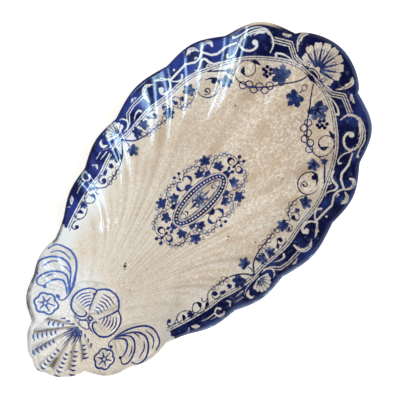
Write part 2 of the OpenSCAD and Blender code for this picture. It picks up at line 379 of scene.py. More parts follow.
def draw_far_scrolls(reserve, ink):
    """Leafy scrolls of the border round its far lobes, kept in the colour of the body."""
    reserve.acanthus(ink, [(19.6, 131.3), (21.8, 128.4), (21.4, 125), (19.4, 121.6), (17, 119.5)],
                     (1.0, 3.0, 2.2, 1.4, 0.6), 5)
    for drop in (0, 1.6, 3.2):
        reserve.strokes([(10, 117.4 - 0.8 * drop), (16.5, 117.4 - drop), (23.5, 121 - drop),
                         (34, 115.8 - drop)], 0.8)
    reserve.curve([(14, 113.4), (20.5, 113), (25, 111.4), (27.8, 109.2), (26.6, 108.4)],
                  (0.7, 0.9, 1.3, 1.5))
    reserve.acanthus(ink, [(27, 123), (28.8, 121.6), (31.4, 120.6)], (1.6, 1.8, 0.8), 3)
    reserve.acanthus(ink, [(31, 107.5), (32.5, 112.4), (36.5, 115), (41, 115), (45.5, 111.4), (48.8, 106.4),
                           (50.2, 101.4), (48, 97.4), (44, 97.6), (40.6, 100.6), (40, 104.2), (42, 106)],
                     (0.8, 1.2, 1.6, 2.2, 2.2, 1.8, 1.5, 1.5, 1.5, 2.2), 9)
    reserve.dot((42.6, 105.2), 1.7)
    reserve.curve([(40, 116.6), (46, 113.6), (50.6, 108), (52.2, 102), (53.6, 98.4)], (0.5, 0.8, 0.8, 1.0))
    reserve.dot((54.4, 97.6), 1.0)
    reserve.curve([(41, 113.4), (44.4, 111), (45.8, 107.6)], (0.6, 1.4, 0.4))
    reserve.curve([(49.4, 97.5), (47.6, 94), (47, 90.5), (47.7, 87.8), (49.2, 86.7), (50, 87.8)],
                  (1.0, 0.9, 1.3))
    reserve.strokes([(50.8, 97), (54, 90), (54.8, 83.6), (57, 80.6), (62.8, 77.4)], (1.0, 1.6, 1.4))
    reserve.acanthus(ink, [(63.4, 77.5), (65.1, 80.4), (64.8, 83.6), (62.8, 85.4), (60.8, 84.6)],
                     (1.0, 1.6, 1.8, 2.2, 1.6), 4, -1)


def draw_side_scrolls(reserve, ink):
    """Scrolls, straps and hooks of the border from its far lobes down to the side shell."""
    reserve.curve([(50.4, 81.2), (52, 78), (55, 76.4), (58.4, 76), (59.4, 73.6), (58, 71), (57, 68),
                   (58, 66.4)], (1.0, 1.2, 1.8, 1.6, 1.2, 1.0, 0.6))
    reserve.curve([(53, 75.6), (54.6, 74.6), (54, 73)], 0.9)
    reserve.strokes([(62.5, 77), (61.2, 74), (61.4, 70), (64.7, 64.8), (64.4, 51.5)], 1.4)
    reserve.curve([(61.6, 73), (63, 72.4), (62.8, 70.8)], (0.6, 1.2, 0.6))
    reserve.acanthus(ink, [(64.4, 76.4), (67.2, 75.4), (68.8, 72.6), (68, 69.4)], (0.8, 2.0, 2.6, 0.8))
    reserve.dot((67, 57), 0.8)
    reserve.curve([(61.6, 58.6), (60.2, 56.6), (60.8, 53.6), (63.6, 50.8), (66, 50.4)], (1.6, 1.1, 1.0, 0.9))
    reserve.curve([(66, 50.2), (62.6, 48.6), (60.8, 45.4), (61.2, 42), (63.4, 40.4), (65.4, 41.6)],
                  (0.9, 1.4, 1.8, 2.0))
    reserve.dot((64.4, 42.3), 1.6)
    reserve.acanthus(ink, [(65.4, 50), (68.6, 46.8), (71, 42.6)], (0.6, 2.0, 0.6), 3, -1)
    reserve.acanthus(ink, [(70.2, 40.6), (72.4, 37), (72, 33.4), (69.4, 31), (65, 30.6)],
                     (0.6, 1.8, 2.2, 2.0, 1.2))
    reserve.strokes([(69.2, 30), (69.4, 21), (68.2, 15.4), (64, 11.4), (62, 7)], 0.8)
    reserve.strokes([(70.7, 30), (70.7, 21), (69.4, 14.4), (66.2, 11.4)], 0.7)
    reserve.curve([(64.4, 22.2), (65.6, 21.4), (65.4, 18.4), (63.2, 14.4)], (1.6, 1.2, 0.7, 0.4))
    reserve.acanthus(ink, [(71.8, 26.4), (72.9, 23.8), (72.2, 21.4)], (0.5, 1.4, 0.4), 3)


def draw_side_shell(reserve, wash):
    """The small scallop half way along each side, open towards the rim, and the scrolls that hold it."""
    hinge = np.array([63.8, 0.6])
    for turn in np.linspace(20, 160, 8):
        reserve.ray(hinge, turn, 0, 5.2 + 2.0 * math.sin(math.radians(turn)), (1.0, 2.4))
    for turn in np.linspace(30, 150, 7):
        wash.ray(hinge, turn, 1.2, 4.8 + 1.8 * math.sin(math.radians(turn)), (0.9, 0.9, 0.4))
    reserve.curve([(62.4, 4.6), (63, 8.4), (65.6, 11), (68.6, 9.8), (69.4, 8)], (0.6, 0.9, 1.2, 0.6))
    reserve.curve([(62.3, 2), (62.2, -8), (64.2, -13)], (0.6, 0.7, 0.5))
    reserve.curve([(64.2, -8.8), (65.6, -11.4), (68.2, -10.8), (68.8, -8.8)], (0.8, 2.0, 1.8, 0.6))


def draw_low_scrolls(reserve, ink):
    """Scrolls of the border between the side shell and the handle."""
    reserve.strokes([(61.8, -12), (61.2, -18)], (0.9, 0.5))
    reserve.strokes([(64.4, -14.6), (63.2, -20)], (0.7, 0.4))
    reserve.acanthus(ink, [(58.4, -23.8), (60.4, -22.4), (62.4, -24.4)], (0.6, 1.5, 0.6), 3)
    reserve.curve([(59.4, -30), (57.6, -31.6), (58.8, -34.4), (61.6, -34), (63, -31), (62, -29.4)],
                  (1.6, 1.1, 0.9, 1.3, 2.0, 0.8))
    reserve.strokes([(58.6, -35), (58.2, -40), (56.6, -44)], (0.8, 0.5))
    reserve.strokes([(60.8, -35.4), (59.8, -39.4)], (0.6, 0.3))
    reserve.acanthus(ink, [(54.4, -51), (56.2, -48.8), (57.8, -47)], (0.8, 2.2, 0.6), 3)
    reserve.curve([(53.6, -52.6), (55, -54.6), (53.8, -57)], (0.5, 0.7, 0.3))


def draw_far_garland(ink, wash):
    """Vine leaves, tendrils and grapes under the far shell."""
    for centre, facing, size in (((0, 98.2), 180, 5.4), ((16.4, 102.4), 98, 6.0)):
        vine_leaf(wash, ink, centre, facing, size, 0.16)
    ink.curve([(0, 103), (0.2, 105), (2, 107), (0.6, 109.2), (-1, 108.6)], 0.6)
    ink.curve([(3.2, 112.8), (5, 109), (8, 104.5), (11.4, 100), (16.5, 92.4), (20, 88.6), (24, 84.6),
               (30, 82), (36, 81.4), (39.6, 84.4), (40.6, 89), (38.6, 94), (34, 96), (30.4, 93.4),
               (30, 89.6), (32.2, 86.8), (35, 86.6)], (0.9, 1.0, 0.9, 0.6, 0.8))
    ink.curve([(33.2, 86.8), (35.8, 87.4), (37.2, 90.2)], (0.8, 2.8, 0.7))
    ink.chain([(14.6, 94), (19, 88.6), (23.4, 85), (28, 82.8), (33, 81.8)], 2.3, 0.8)
    for dx, dy in ((-1.2, 1.6), (1.6, 1.4), (-2.8, -0.4), (0, -1.2), (2.2, -1.2), (-2.4, -3), (-0.4, -3.2)):
        ink.dot((24.8 + dx, 98.6 + dy), 1.25)
    wash.strokes([(20.5, 99.5), (24, 97.5)], (1.0, 0.6))
    ink.curve([(30.8, 97.8), (33.2, 97.4), (36.6, 96)], (1.0, 2.4, 0.4))


def draw_side_garland(ink, wash):
    """Vine scrolls, leaves and loops down each side, as far as the side shell."""
    for centre, facing, size, shade in (
            ((42, 81.8), 250, 2.0, 0.4), ((38.6, 75.6), 185, 3.8, 0.24), ((52, 54.8), 25, 3.8, 0.1),
            ((51.4, 47.6), 150, 1.7, 0.3), ((51.2, 34.4), 265, 3.6, 0.2), ((57.4, 17.2), 10, 3.2, 0.16),
            ((57, 11), 200, 3.2, 0.14), ((50.8, 0.6), 270, 3.6, 0.16)):
        vine_leaf(wash, ink, centre, facing, size, shade)
    ink.curve([(36, 81.4), (39, 81.6), (42, 81.6), (44.4, 79.4), (51.6, 71.8)], (0.5, 0.8, 1.2, 0.9))
    ink.curve([(51.6, 66), (51, 61.6), (47.6, 58.4), (43.4, 58), (39.6, 60.4), (38, 64.6), (38.8, 69),
               (41.4, 72)], (0.5, 0.8, 0.9, 0.8))
    ink.curve([(40.8, 71.8), (44, 72), (47.4, 69.8), (49.4, 66.6)], (1.0, 2.2, 1.4, 0.3))
    ink.dot((44.6, 70), 1.7)
    ink.spiral((43.6, 62.6), 2.6, 190, 1.1, 0.7)
    ink.curve([(49.6, 59), (47.2, 55.6), (46.2, 51), (46.6, 46.4), (48.6, 42.4), (52.6, 39.8)], 0.6)
    ink.chain([(46.4, 51.6), (46.6, 46), (49.4, 41)], 1.4, 0.5)
    ink.spiral((53.6, 43.4), 3.6, 280, 1.0, 0.6)
    ink.curve([(51.6, 43.4), (52.6, 42.2), (54.6, 43)], (0.8, 2.4, 0.8))
    ink.spiral((55.4, 35.4), 2.8, 330, 1.1, 0.6)
    ink.dot((56, 35.2), 1.0)
    ink.curve([(52.6, 39.8), (50.4, 37.6), (49.6, 31), (50.6, 24), (51.8, 14), (54.2, 6), (57.4, 2.4),
               (60, 0.4)], (0.6, 0.7, 0.9, 1.2))
    ink.chain([(50.4, 31.4), (50.8, 24), (51.4, 18), (52.2, 12)], 1.4, 0.5)
    ink.spiral((57.2, 26.6), 3.4, 20, 1.0, 0.6)
    ink.curve([(54.8, 26), (56.2, 27.2), (58, 26.4)], (0.8, 2.6, 0.8))
    wash.strokes([(57.6, 23.8), (59.6, 22)], (1.6, 2.2, 0.6))
    ink.strokes([(54.8, 8.6), (57, 9.6)], (2.4, 0.6))
    ink.curve([(54.2, 0.8), (56, 1.4), (58, 0.6)], (0.8, 0.5))


def draw_low_garland(ink, wash):
    """Vine scrolls, leaves and loops down each side, from the side shell to the handle."""
    for centre, facing, size, shade in (
            ((56.2, -9.4), 165, 4.2, 0.14), ((53.8, -16.2), 160, 1.7, 0.4), ((48.8, -46.4), 180, 2.3, 0.3)):
        vine_leaf(wash, ink, centre, facing, size, shade)
    ink.curve([(60, -0.5), (56, -3.4), (52.6, -7.4), (50.2, -12), (48.4, -19), (47, -26), (47.6, -29.4),
               (50.4, -32.4), (52.4, -35)], (1.2, 0.9, 0.7, 0.8))
    ink.chain([(49.8, -12.6), (48.4, -18), (47.8, -26)], 1.4, 0.5)
    ink.strokes([(54, -19.6), (53.6, -22), (52.6, -24)], (0.6, 2.4, 0.5))
    ink.spiral((51, -26.2), 3.6, 20, 1.0, 0.7)
    ink.dot((50.6, -26), 1.6)
    ink.curve([(47.4, -29.2), (49.4, -31.8), (49.6, -34.4), (48, -35.2), (46.8, -34.2)], (0.8, 0.6, 0.9))
    ink.strokes([(50.8, -32.4), (51.9, -34.4), (52.7, -36.6)], (0.7, 2.6, 0.6))
    ink.curve([(52.7, -36.6), (53.4, -39.4), (51.6, -42.4), (48.8, -44.2), (46.4, -42.2), (45.8, -39.6),
               (47.2, -38)], (0.6, 0.8, 0.8))
    ink.curve([(46.6, -38.4), (48.6, -37.8), (50.6, -39.2)], (1.0, 2.6, 0.6))
    ink.curve([(51.4, -42.8), (48.6, -44.4), (45.2, -47), (43.4, -50.6), (43.8, -53.8), (46.2, -55.4),
               (48.6, -54.2)], (0.6, 0.7, 0.8))
    ink.curve([(45.4, -50.2), (47.4, -50.9), (48, -52.4)], (0.8, 2.6, 0.7))
    ink.curve([(44, -54), (45.2, -57.6), (44.8, -60.6), (42.6, -61.6), (41.2, -60)], (0.6, 0.7, 0.9))
    ink.dot((42, -59.3), 1.3)


# The border's inner line on the right, from the far shell to the handle
BORDER_LINE = [(0, 115.2), (10, 114.4), (20, 110.3), (31, 102.8), (40, 94.5), (46.4, 85), (51.5, 75),
               (56.2, 65), (58.4, 55), (59.2, 42), (61.5, 28), (61, 17), (60, 8), (60, -4),
               (57.8, -15), (54.6, -25), (53.4, -35), (51, -45), (47.8, -55), (44, -66)]
BORDER_END = -64.0
# How far the dark ground bled into the scrolls that it leaves bare
INK_SPREAD = 0.12


def border_ground(canvas):
    """The dark ground from the inner line to the rim, with a cream line in it and a thin dark line by it."""
    line = smooth_path(BORDER_LINE)
    turn = bearing(line, MIDDLE)
    x, y = np.meshgrid(canvas.x, canvas.y)
    p = np.stack([np.abs(x), y], -1)
    out = distance(p, MIDDLE)
    away = out - np.interp(bearing(p, MIDDLE), turn, distance(line, MIDDLE))
    rows, columns = np.gradient(away, canvas.CELL)
    away = away / np.maximum(np.hypot(rows, columns), 0.5)
    cream_line = 0.33 - np.abs(away - 0.95)
    thin_line = 0.28 - np.abs(away + 1.0)
    ground = np.maximum(np.minimum(away, -cream_line), thin_line)
    ragged_end = y - BORDER_END + 0.6 * np.sin(1.7 * x)
    return np.minimum(ground, ragged_end)


def border_layers():
    """The printed border, as dark ink and paler wash."""
    reserve, ink, wash = (Canvas(HALF_WIDTH + 4, BORDER_END - 4, HALF_LENGTH + 4) for _ in range(3))
    draw_far_shell(reserve, wash, ink)
    draw_far_scrolls(reserve, ink)
    draw_side_scrolls(reserve, ink)
    draw_side_shell(reserve, wash)
    draw_low_scrolls(reserve, ink)
    draw_far_garland(ink, wash)
    draw_side_garland(ink, wash)
    draw_low_garland(ink, wash)
    for layer in (reserve, ink, wash):
        layer.mirror()
    ink.field = np.maximum(np.minimum(border_ground(ink), INK_SPREAD - reserve.field), ink.field)
    return ink, wash


def oval(canvas, radius_x, radius_y):
    """Signed distance to an oval about the middle of the drawing, positive inside."""
    x = canvas.x[None, :]
    y = canvas.y[:, None]
    k = np.sqrt((x / radius_x) ** 2 + (y / radius_y) ** 2) + 1e-6
    steep = np.sqrt((x / radius_x**2) ** 2 + (y / radius_y**2) ** 2) / k + 1e-6
    return (1 - k) / steep


def in_half(flip, *points):
    """Points of the medallion's upper half, or of its lower half if flip is -1."""
    return [(x, flip * y) for x, y in points]


def draw_medallion_flower(ink, wash, flip):
    """Half of what the medallion's oval holds: a flower like a star, and a small curl beyond it."""
    wash.curve(in_half(flip, (0.2, 0.4), (1.6, 1.8), (2.7, 4), (1.3, 4.8)), (1.2, 2.0, 1.5, 0.5))
    wash.strokes(in_half(flip, (0, 1), (0, 8.8)), (1.2, 1.9, 0.5))
    ink.strokes(in_half(flip, (0.4, 0.4), (1.9, 2.6)), (0.5, 0.7, 0.2))
    wash.strokes(in_half(flip, (1.8, 0), (3.6, 1.6)), (1.4, 0.5))
    ink.curve(in_half(flip, (0, 11.2), (0.9, 11.9), (1.8, 13)), (1.1, 0.8, 0.3))
    wash.curve(in_half(flip, (0.3, 13.6), (1.7, 14.2), (1.9, 15.6), (0.9, 16)), (0.6, 0.7, 0.4))


def draw_medallion_ends(ink, wash, flip):
    """The lobe of foliage beyond one end of the medallion's oval."""
    wash.curve(in_half(flip, (9.4, 17), (11.4, 22.2), (12.2, 26.4), (10.6, 31.4), (7.2, 34.4), (3.4, 35.4),
                       (0, 34.4)), 0.6)
    wash.chain(in_half(flip, (10.4, 20), (12, 26), (10.4, 31.4), (6.8, 34.2)), 1.2, 0.5)
    vine_leaf(wash, ink, (7.2, flip * 23.8), 90 - 70 * flip, 3.2, 0.18)
    ink.strokes(in_half(flip, *arc((3.5, 31.8), 2.0, -70, 250)), (0.6, 0.9, 2.3, 0.9, 0.6))
    ink.strokes(in_half(flip, (1.2, 26.6), (1.9, 28.8)), (1.2, 2.3, 1.0))
    ink.strokes(in_half(flip, (0, 30.6), (0, 35)), (2.0, 0.8, 1.6))
    ink.curve(in_half(flip, (0.2, 35.6), (1.2, 36.6), (2.6, 36.8)), 0.7)
    ink.dot((2, flip * 37.9), 1.2)


def draw_medallion_sides(ink, wash, flip):
    """Half of the foliage along one side of the medallion's oval."""
    wash.curve(in_half(flip, (9.6, 14.6), (14.4, 15), (18.2, 12.4), (20, 8.4), (19, 3.8), (16.4, 0.6)), 0.6)
    wash.chain(in_half(flip, (13, 15), (17.8, 12.6), (19.8, 8), (18.8, 3.6)), 1.2, 0.5)
    vine_leaf(wash, ink, (12.2, flip * 11.2), 90 - 30 * flip, 3.0, 0.16)
    ink.strokes(in_half(flip, *arc((14.8, 2.2), 3.1, -110, 110)), (0.6, 0.7, 2.5, 0.7, 0.6))
    ink.curve(in_half(flip, (9.4, 17.2), (11.4, 17.4), (13.6, 18.4)), 0.6)
    vine_leaf(wash, ink, (15.9, flip * 19.6), 90 - 35 * flip, 3.5, 0.3)
    for curl in in_half(flip, (19.6, 15.8), (15.6, 24.1), (12.4, 16.4)):
        ink.ring(curl, 0.9, 0.55)
    ink.curve(in_half(flip, (18.4, 0.4), (20.2, 0.6), (21.4, 1.6)), 0.6)
    ink.dot((21.8, flip * 2), 1.1)


# Beads in the band round the medallion
BEADS = 42


def medallion_layers():
    """The oval in the well, about its own middle: a flower in a beaded band, and foliage round it."""
    reserve, ink, wash, domes = (Canvas(27, -43, 43) for _ in range(4))
    round_band = (6.9, 20.7) * heading(np.arange(361))
    run = path_lengths(round_band)
    for reach in np.arange(BEADS) * run[-1] / BEADS:
        reserve.dot(round_band[np.searchsorted(run, reach)], 0.46)
    for flip in (1, -1):
        draw_medallion_flower(ink, wash, flip)
        draw_medallion_ends(ink, wash, flip)
        draw_medallion_sides(ink, wash, flip)
        domes.strokes(in_half(flip, (0, 22), (0, 25.6)), (6.0, 5.0, 1.2))
        domes.strokes(in_half(flip, (7.4, 14), (9.6, 17)), (4.6, 4.0, 1.0))
    domes.strokes([(9, 0), (12.2, 0)], (6.4, 5.0, 1.4))
    ink.dot((18.4, 0), 0.8)
    for layer in (reserve, ink, wash, domes):
        layer.mirror()
    ink.field = np.maximum(ink.field, np.minimum(domes.field, -oval(ink, 9.9, 23.6)))
    beaded = np.minimum(oval(ink, 8.6, 22.3), -oval(ink, 5.3, 19.1))
    line = 0.28 - np.abs(oval(ink, 9.6, 23.3))
    ink.field = np.maximum(np.minimum(np.maximum(beaded, line), -reserve.field), ink.field)
    inner = np.minimum(np.abs(oval(wash, 4.6, 18.3)), np.abs(oval(wash, 3.8, 17.4)))
    wash.field = np.maximum(wash.field, 0.26 - inner)
    return ink, wash


def draw_cockle(ink):
    """Blue lines painted on the cockle shell."""
    ink.curve([(0, -71.2), (3.4, -71.8), (7, -74.2), (9.4, -77.4)], (1.2, 1.4, 0.9))
    ink.curve([(9.4, -77.4), (13.9, -79.8), (17.3, -85.6), (17, -92), (13.4, -97.4), (8.6, -98.6), (5, -97),
               (3.4, -94.4), (4.6, -92.4)], (0.9, 1.4, 1.4, 1.1))
    ink.curve([(9.2, -77.6), (7.2, -83.4), (4.4, -89.8)], (1.2, 0.7))
    for n in range(6):
        y = -75.4 - 2.3 * n
        half = 5.0 - 0.6 * n
        ink.curve([(-half, y - 1.0), (0, y), (half, y - 1.0)], (0.5, 1.0, 0.5))
    for n in range(5):
        inset = 1.9 * n
        ink.curve([(11.4 - inset * 0.75, -81.2 - inset * 0.6), (14.6 - inset, -85.3 - inset * 0.4),
                   (15.2 - inset, -90.2 - inset * 0.1)], (0.5, 1.0, 0.5))
    ink.ring((0, -93.6), 1.4, 1.0)
    ink.curve([(1.4, -95.4), (3.2, -98.4), (8.4, -100.4)], (0.7, 1.0, 0.6))
    ink.curve([(0, -96), (2.4, -98), (4, -100), (2.4, -101.8), (0, -102.2)], (1.0, 0.7, 0.5))


def draw_feathers(ink):
    """Blue strokes painted on the feathers."""
    for points in (
            [(48.4, -78), (46.8, -73.2), (42.4, -71), (36.6, -70.3), (30.6, -72.6), (25.4, -78.4),
             (22.4, -85), (20.6, -92), (20.6, -97), (22.6, -98.8)],
            [(42, -94.4), (45.4, -92.6), (47, -88), (45.8, -83.4), (41.8, -79), (36.4, -76.8),
             (30.6, -78.2), (25.8, -82.6), (22.2, -88.6)],
            [(34.2, -98.4), (37.6, -100), (40, -97.6), (40, -93.4), (37.6, -88), (33, -84.2),
             (28.4, -83.4), (24.2, -86.4), (21.2, -90.8)],
            [(34.2, -98.2), (33.8, -93.6), (31.4, -89.2), (27.6, -87.2), (24, -89), (21.6, -92.2)]):
        ink.curve(points, (0.8, 1.3, 1.3, 0.8))
    ink.curve([(33.8, -74.2), (39.6, -73.8), (43.4, -75.4), (45.8, -79)], (0.6, 1.0, 0.6))
    ink.curve([(38.4, -79.9), (41.8, -83), (43.5, -88.6)], (0.6, 1.1, 0.6))
    ink.curve([(33.8, -86.8), (36.4, -89.8), (37.4, -93.2)], (0.6, 1.1, 0.6))
    ink.curve([(28.6, -80.6), (31.6, -79.8), (34.4, -80.4)], (0.5, 0.9, 0.5))
    ink.dot((33.6, -98.2), 1.2)
    ink.dot((23.6, -97.6), 1.2)


# The middle of the right flower, where the part's source puts it
FLOWER = np.array([25.9, -106.1])


def draw_flowers(ink):
    """A wavy ring with a star in it on each flower."""
    turns = np.arange(0, 361, 10)
    wave = 0.84 + 0.17 * np.abs(np.cos(np.radians(FLOWER_PETALS / 2 * turns)))
    ink.strokes(FLOWER + (FLOWER_RADIUS * wave)[:, None] * heading(turns), 1.2)
    for turn in np.arange(FLOWER_PETALS) * 360 / FLOWER_PETALS:
        ink.ray(FLOWER, turn, 2.0, 4.8, (1.2, 0.6))
    ink.ring(FLOWER, 1.4, 0.8)


THUMB_HINGE = UMBO - (0, KNOT_LENGTH + MOULDING_GAP)


def draw_thumb(ink):
    """Strokes that fan out from the hinge of the thumb shell, ticks along its ribs and short dashes."""
    for turn, reach in ((0, 15), (10, 10), (19, 12.5), (30, 10.5), (43, 9)):
        way = heading(180 - turn)
        ink.strokes([THUMB_HINGE + (0, 1.6) + 2.6 * way, THUMB_HINGE + reach * way], (0.4, 0.9, 0.8, 0.2))
    for turn, first, last, half in (
            (0, 19, 36.5, 1.8), (19, 18, 34, 1.8), (36, 15, 30, 1.9), (56, 11, 20, 1.6)):
        for reach in np.arange(first, last, 2.8):
            across = half * (0.7 + 0.5 * (reach - first) / (last - first))
            swing = math.degrees(across / reach)
            tick = [reach * heading(180 - turn + k * swing) + (0, 0.5 * k * k) for k in (-1, 0, 1)]
            ink.curve(THUMB_HINGE + tick, (0.5, 1.3, 0.5))
    for reach in (5, 8.5, 12):
        dash = [reach * heading(100), (reach + 1.8) * heading(106)]
        ink.strokes(THUMB_HINGE + dash, (1.2, 0.6))


# How far the paint on the handle ran
PAINT_SPREAD = 0.04


def handle_layers():
    """What is painted on the handle. It has no wash."""
    ink, wash = (Canvas(HANDLE_WIDTH / 2 + 6, -HALF_LENGTH - 4, HANDLE_START + 10) for _ in range(2))
    draw_cockle(ink)
    draw_feathers(ink)
    draw_flowers(ink)
    draw_thumb(ink)
    ink.mirror()
    ink.field += PAINT_SPREAD
    return ink, wash


def turned(p, centre, degrees):
    """Points as seen from a centre in a frame that is turned clockwise."""
    sine, cosine = math.sin(math.radians(degrees)), math.cos(math.radians(degrees))
    x, y = (p - centre).T
    return np.column_stack([x * cosine - y * sine, x * sine + y * cosine])


def on_border(p):
    """Points of the dish in the border's drawing, which slipped left and turned a little as it was laid."""
    x, y = p.T
    slip = 0.012 * (70 - y) + 2.4 * smooth((y - 105) / 20)
    sink = 0.008 + 0.03 * smooth((60 - y) / 60)
    return np.column_stack([x + slip, y + sink * x])


def on_medallion(p):
    """Points of the dish in the medallion's drawing, which was laid a little askew."""
    return turned(p, (1.3, 9.0), 2.2)


def on_handle(p):
    """Points of the dish in the handle's drawing.

    The paint lies to the right, most so in the middle. It is drawn in at the right edge and low by the bowl.
    """
    x, y = p.T
    middle = smooth((24 - np.abs(x)) / 6) * (1 - 0.6 * smooth((-106 - y) / 10))
    shift = 1.0 + 1.6 * middle - 3.0 * smooth((x - 24) / 22)
    sink = 1.3 * smooth((y + 104) / 14)
    return np.column_stack([x - shift, y + sink])


DRAWINGS = ((on_border, border_layers()), (on_medallion, medallion_layers()), (on_handle, handle_layers()))
# The signed distances are kept within this range
INK_RANGE = 0.8
# The size of each wave in which the print strays
WANDER = 0.15


def drawn_at(p):
    """Signed distances of the ink and the wash at points of the dish, where hands laid them a little off."""
    wander = np.stack([np.sin(p[:, 1] / 9 + 1.3) + np.sin(p[:, 0] / 13 + p[:, 1] / 21),
                       np.sin(p[:, 0] / 11 + 0.4) + np.sin(p[:, 1] / 15 - p[:, 0] / 19)], 1)
    values = {"ink": np.full(len(p), -INK_RANGE), "wash": np.full(len(p), -INK_RANGE)}
    for lay, layers in DRAWINGS:
        place = lay(p) + WANDER * wander
        for key, layer in zip(values, layers):
            values[key] = np.maximum(values[key], np.minimum(layer.at(place), INK_RANGE))
    return values


def make_piece(name, points, faces, values, material):
    """A smooth mesh from millimetre points, with values at its points for the material to read."""
    mesh = bpy.data.meshes.new(name)
    mesh.from_pydata(points * MILLIMETRE, [], faces)
    mesh.shade_smooth()
    for key, value in values.items():
        mesh.attributes.new(key, "FLOAT", "POINT").data.foreach_set("value", np.asarray(value, np.float32))
    mesh.materials.append(material)
    piece = bpy.data.objects.new(name, mesh)
    bpy.context.scene.collection.objects.link(piece)
    return piece


def stands_for(piece, node):
    """Takes a CAD node's place on the dish, which is all one body."""
    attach(piece, "root")
    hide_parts(node)


def band(upper, lower):
    """Faces between two closed rows of points."""
    return np.column_stack([upper, np.roll(upper, -1), np.roll(lower, -1), lower]).tolist()


# The space between points of the upper face, and the number of points along the rim
GRAIN = 0.45
COLUMNS = 1792


def column_places():
    """Places on the rim that divide it into equal lengths."""
    fine = np.linspace(0, LOBE_COUNT, 9001)
    run = path_lengths(rim(fine))
    return np.interp(np.arange(COLUMNS) * run[-1] / COLUMNS, run, fine)


def upper_face_plan(places):
    """Points of the upper face on plan, about a grain apart, and the places of their ribs, edge first."""
    edge = upper_edge(places)
    reach = distance(edge, UMBO)
    ribs, rows = [places], [np.ones(COLUMNS)]
    for i, place in enumerate(places):
        spread = (i & -i) or COLUMNS
        v = 1 - (np.arange(1, reach[i] / GRAIN) - 0.5 * (i % 2)) * GRAIN / reach[i]
        v = v[v > max(0.75 / spread, GRAIN / reach[i])]
        rows.append(v)
        ribs.append(np.full(len(v), place))
    ribs, rows = np.concatenate(ribs), np.concatenate(rows)
    return rib(ribs, rows), ribs


def plan_triangles(plan):
    """Triangles between points of the plan, inside the edge that comes first."""
    edge = [(i, (i + 1) % COLUMNS) for i in range(COLUMNS)]
    _, _, faces, sources, _, _ = delaunay_2d_cdt([Vector(p) for p in plan], edge, [], 1, 1e-6)
    source = np.array([s[0] for s in sources])
    faces = source[np.array(faces)]
    a, b, c = (plan[faces[:, k]] for k in range(3))
    turn = (b - a)[:, 0] * (c - a)[:, 1] - (b - a)[:, 1] * (c - a)[:, 0]
    faces[turn < 0] = faces[turn < 0][:, ::-1]
    return faces


def lip_row(places, turn):
    """One row of the rounded lip: 0 degrees is the upper face's edge and 180 the underside's."""
    edge = upper_edge(places)
    plan = edge + math.sin(math.radians(turn)) * (rim(places) - edge)
    height = bare_height(edge) + flute(places, edge) - WALL / 2 * (1 - math.cos(math.radians(turn)))
    return np.column_stack([plan, height])


def under_row(places, row):
    """One row of the underside: 1 is the lip and 0 the edge of the flat floor."""
    edge = upper_edge(places)
    flat = FLOOR_SHARE / share(edge)
    plan = MIDDLE + (flat + row * (1 - flat))[:, None] * (edge - MIDDLE)
    height = bare_height(plan) - WALL + flute(places, plan) * smooth(row * 1.2)
    return np.column_stack([plan, np.where(row > 0, height, FOOT_HEIGHT)])


LIP_TURNS = (25, 50, 70, 90, 115, 145, 180)
UNDER_ROWS = (0.95, 0.88, 0.8, 0.7, 0.6, 0.5, 0.4, 0.3, 0.2, 0.1, 0.0)
# The share of the baked picture's width that the upper face takes
TOP_SHARE = 0.7


def bake_map(mesh, points, top_faces):
    """Lays the upper face and the underside side by side, seen straight on, for the baked picture."""
    corners = np.empty(len(mesh.loops), np.int32)
    mesh.loops.foreach_get("vertex_index", corners)
    starts = np.empty(len(mesh.polygons), np.int32)
    mesh.polygons.foreach_get("loop_start", starts)
    top = np.arange(len(corners)) < starts[top_faces]
    across = points[corners, 0] / (DISH_WIDTH + 4) + 0.5
    along = points[corners, 1] / (DISH_LENGTH + 4) + 0.5
    u = np.where(top, across * TOP_SHARE, TOP_SHARE + across * (1 - TOP_SHARE))
    layer = mesh.uv_layers.new(name="OFBake")
    layer.data.foreach_set("uv", np.column_stack([u, along]).astype(np.float32).ravel())


def dish_values(points, plan, ribs, places, rim_points):
    """What the glaze reads at the dish's points. Those up to the rim are printed, and the rest are plain."""
    rest = len(points) - len(plan)
    outside = np.arange(len(points)) >= rim_points
    values = {key: np.where(outside, -INK_RANGE, value) for key, value in drawn_at(points[:, :2]).items()}
    edge = np.append(from_edge(plan, ribs), np.zeros(rest))
    edge[outside] = HALF_WIDTH
    stretch = np.concatenate([ribs, np.tile(places, rest // COLUMNS), [0]])
    rubbed = smooth(1.3 - np.abs(stretch - BARE_LIP) / BARE_RUN)
    values["edge"] = edge
    values["soil_and_shade"] = np.append(channel_stain_and_shade(ribs, plan), np.zeros(rest))
    values["spot"] = spots(points)
    values["bare"] = smooth(1.2 - edge / BARE_DEPTH) * rubbed
    return values


def make_dish(material):
    """The pressed body: its printed upper face, rounded lip and plain underside."""
    places = column_places()
    plan, ribs = upper_face_plan(places)
    top = np.column_stack([plan, bare_height(plan) + flute(ribs, plan)])
    rows = [lip_row(places, turn) for turn in LIP_TURNS] + [under_row(places, row) for row in UNDER_ROWS]
    points = np.vstack([top] + rows + [[(*MIDDLE, FOOT_HEIGHT)]])
    faces = plan_triangles(plan).tolist()
    to_rim = COLUMNS * (LIP_TURNS.index(90) + 1)
    top_faces = len(faces) + to_rim
    ring = np.arange(COLUMNS)
    starts = [ring] + [len(top) + n * COLUMNS + ring for n in range(len(rows))]
    for upper, lower in zip(starts, starts[1:]):
        faces += band(upper, lower)
    last = starts[-1]
    faces += np.column_stack([last, np.roll(last, -1), np.full(COLUMNS, len(points) - 1)]).tolist()
    values = dish_values(points, plan, ribs, places, len(top) + to_rim)
    piece = make_piece("dish", points, faces, values, material)
    bake_map(piece.data, points, top_faces)
    stands_for(piece, "dish_body")


